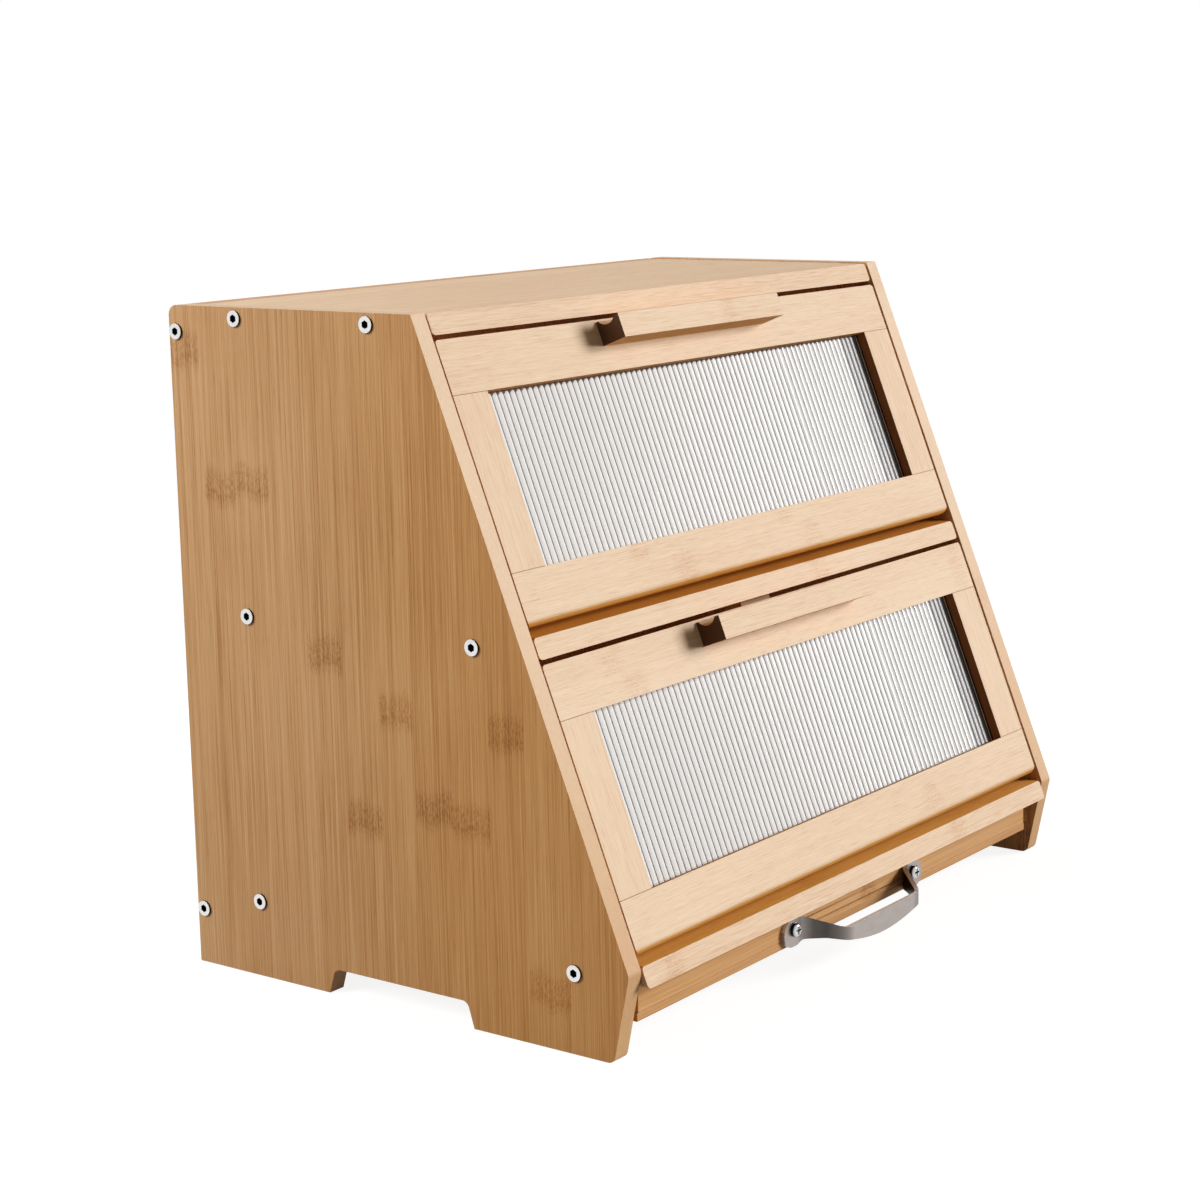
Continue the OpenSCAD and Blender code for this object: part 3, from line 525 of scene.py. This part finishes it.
# Painted rib shading and rail shadow for each door's pane
PANES = {
    door: ribbed_acrylic(f"ribbed_acrylic_{door}", edge_mm("upper_door_right_stile", 0, 0),
                         span(door + "_door_top_rail", UP_SLOPE)[0], line, rail_shadow)
    for door, line, rail_shadow in (("upper", "453e3c", 1.0), ("lower", "241e1d", 0.0))}
for node in NODES:
    if node.endswith("case_bolts"):
        wear(node, BOLTS)
    elif node == "drawer_pull_screws":
        wear(node, PULL_SCREWS)
    elif node.endswith("_screws"):
        wear(node, SCREWS)
    elif node.endswith("magnet"):
        wear(node, NICKEL)
    elif node.endswith(("strike_plate", "pivot_pins")):
        wear(node, PLAIN)
    elif node.endswith("pane"):
        wear(node, PANES[node.split("_")[0]])
wear("drawer_pull", PULL)
for door in ("upper", "lower"):
    # Light reaches the bays through the panes
    NODES[door + "_door_pane"].visible_shadow = False
    NODES[door + "_door_pane"].visible_diffuse = False


# ---- Edges ----

BOARDS = ("panel", "board", "shelf", "rail", "stile", "handle", "block", "guide", "ledge")
PANEL_EDGE, BOARD_EDGE, PULL_EDGE, BOLT_EDGE = 0.4 * MM, 0.28 * MM, 0.35 * MM, 0.2 * MM


def soften(node, width):
    """Rounds a node's sharp edges by a modifier, which leaves the mesh itself as it is."""
    piece = NODES[node]
    weld = piece.modifiers.new("weld", "WELD")
    weld.merge_threshold = 0.01 * MM
    bevel = piece.modifiers.new("bevel", "BEVEL")
    bevel.width = width
    bevel.segments = 2
    bevel.limit_method = "ANGLE"
    bevel.angle_limit = math.radians(40)
    bevel.harden_normals = True


for node in NODES:
    if node.endswith(BOARDS):
        soften(node, PANEL_EDGE if node.endswith("panel") else BOARD_EDGE)
    elif node.startswith("drawer_") and node not in ("drawer_pull", "drawer_pull_screws"):
        soften(node, PANEL_EDGE)
soften("drawer_pull", PULL_EDGE)
for node in ("left_case_bolts", "right_case_bolts", "drawer_pull_screws"):
    soften(node, BOLT_EDGE)

# ---- Camera ----

CAMERA_AT = Vector((-1.0582, -0.7580, 0.4133))
TURN, TILT, ROLL = math.radians(-53.166), math.radians(10.840), math.radians(-1.130)
VIEW_ANGLE = math.radians(26.345)


def add_camera():
    forward = Vector((-math.sin(TURN) * math.cos(TILT), math.cos(TURN) * math.cos(TILT),
                      -math.sin(TILT)))
    right = forward.cross(Z).normalized()
    up = right.cross(forward)
    right, up = (math.cos(ROLL) * right + math.sin(ROLL) * up,
                 -math.sin(ROLL) * right + math.cos(ROLL) * up)
    data = bpy.data.cameras.new("camera")
    data.sensor_fit = "HORIZONTAL"
    data.angle = VIEW_ANGLE
    data.clip_start, data.clip_end = 0.05, 50
    camera = bpy.data.objects.new("camera", data)
    bpy.context.scene.collection.objects.link(camera)
    rows = Matrix((right, up, -forward)).transposed()
    camera.matrix_world = Matrix.Translation(CAMERA_AT) @ rows.to_4x4()
    bpy.context.scene.camera = camera


add_camera()

# ---- Light ----

# The key is a sun from the front right. Its soft reflection whitens the panes in the photo's view
KEY_FROM, KEY_STRENGTH, KEY_SOFTNESS = Vector((5.0, -4.2, 1.95)), 3.4, math.radians(24)
SOFT_BOXES = {
    # name: (place, target, width, height, watts)
    "side_left": ((-1.5, 0.75, 1.05), (-0.2, 0.0, 0.15), 0.9, 0.9, 22.0),
    "top_back": ((0.3, 1.1, 1.9), (0.0, 0.0, 0.3), 1.2, 1.2, 5.0),
}


def hang(name, data, place, aim):
    lamp = bpy.data.objects.new(name, data)
    bpy.context.scene.collection.objects.link(lamp)
    turn = aim.to_track_quat("-Z", "Y").to_matrix().to_4x4()
    lamp.matrix_world = Matrix.Translation(place) @ turn


def add_lights():
    key = bpy.data.lights.new("key_right", "SUN")
    key.energy, key.angle = KEY_STRENGTH, KEY_SOFTNESS
    hang("key_right", key, KEY_FROM, -KEY_FROM)
    for name, (place, target, width, height, watts) in SOFT_BOXES.items():
        data = bpy.data.lights.new(name, "AREA")
        data.shape = "RECTANGLE"
        data.size, data.size_y = width, height
        data.energy = watts
        hang(name, data, Vector(place), Vector(target) - Vector(place))


add_lights()

# ---- World and floor ----

WORLD_LIGHT, WORLD_COLOUR = 0.115, "ffdcac"
FLOOR_TONE, FLOOR_GLOW = (0.3, 0.3, 0.3, 1.0), 0.88
FLOOR_HALF, FLOOR_DROP = 6.0, 0.3 * MM
WHITE = (1.0, 1.0, 1.0, 1.0)
# The floor turns plain white between these distances from the middle of the box
WHITE_FROM, WHITE_TO = 0.45, 1.1


def seen_directly(tree):
    """1 for rays from the camera, off gloss or through clear material, and 0 for the rest."""
    path = tree.nodes.new("ShaderNodeLightPath")
    total = path.outputs["Is Camera Ray"]
    for name in ("Is Glossy Ray", "Is Transmission Ray"):
        joined = tree.nodes.new("ShaderNodeMath")
        joined.operation = "MAXIMUM"
        tree.links.new(total, joined.inputs[0])
        tree.links.new(path.outputs[name], joined.inputs[1])
        total = joined.outputs[0]
    return total


def make_world():
    world = bpy.data.worlds.new("world")
    bpy.context.scene.world = world
    world.use_nodes = True
    tree = world.node_tree
    tree.nodes.clear()
    out = tree.nodes.new("ShaderNodeOutputWorld")
    lit, shown = tree.nodes.new("ShaderNodeBackground"), tree.nodes.new("ShaderNodeBackground")
    lit.inputs["Strength"].default_value = WORLD_LIGHT
    lit.inputs["Color"].default_value = linear(WORLD_COLOUR)
    shown.inputs["Strength"].default_value = 1.0
    shown.inputs["Color"].default_value = WHITE
    mix = tree.nodes.new("ShaderNodeMixShader")
    tree.links.new(seen_directly(tree), mix.inputs[0])
    tree.links.new(lit.outputs[0], mix.inputs[1])
    tree.links.new(shown.outputs[0], mix.inputs[2])
    tree.links.new(mix.outputs[0], out.inputs["Surface"])


make_world()


def add_floor():
    """A plain floor that keeps the shadow close to the box and turns plain white further out."""
    mesh = bpy.data.meshes.new("floor")
    corners = [(FLOOR_HALF * x, FLOOR_HALF * y, 0) for x, y in ((-1, -1), (1, -1), (1, 1), (-1, 1))]
    mesh.from_pydata(corners, [], [(0, 1, 2, 3)])
    floor = bpy.data.objects.new("floor", mesh)
    floor.location.z = -FLOOR_DROP
    bpy.context.scene.collection.objects.link(floor)
    t = Tree("floor_white")
    seen = seen_directly(t.tree)
    t.shade(Base_Color=FLOOR_TONE, Roughness=0.9, Specular_IOR_Level=0.0,
            Emission_Color=WHITE, Emission_Strength=t.mul(seen, FLOOR_GLOW))
    out = [n for n in t.tree.nodes if n.type == "OUTPUT_MATERIAL"][0]
    near = out.inputs["Surface"].links[0].from_socket
    white = t.node("ShaderNodeEmission")
    mix = t.node("ShaderNodeMixShader")
    far = t.node("ShaderNodeVectorMath", operation="LENGTH")
    t.put(far.inputs[0], t.object)
    t.put(mix.inputs[0], t.mul(seen, t.step(far.outputs["Value"], WHITE_FROM, WHITE_TO)))
    t.put(mix.inputs[1], near)
    t.put(mix.inputs[2], white.outputs[0])
    t.put(out.inputs["Surface"], mix.outputs[0])
    mesh.materials.append(t.material)


add_floor()

bpy.context.scene.view_settings.view_transform = "Standard"
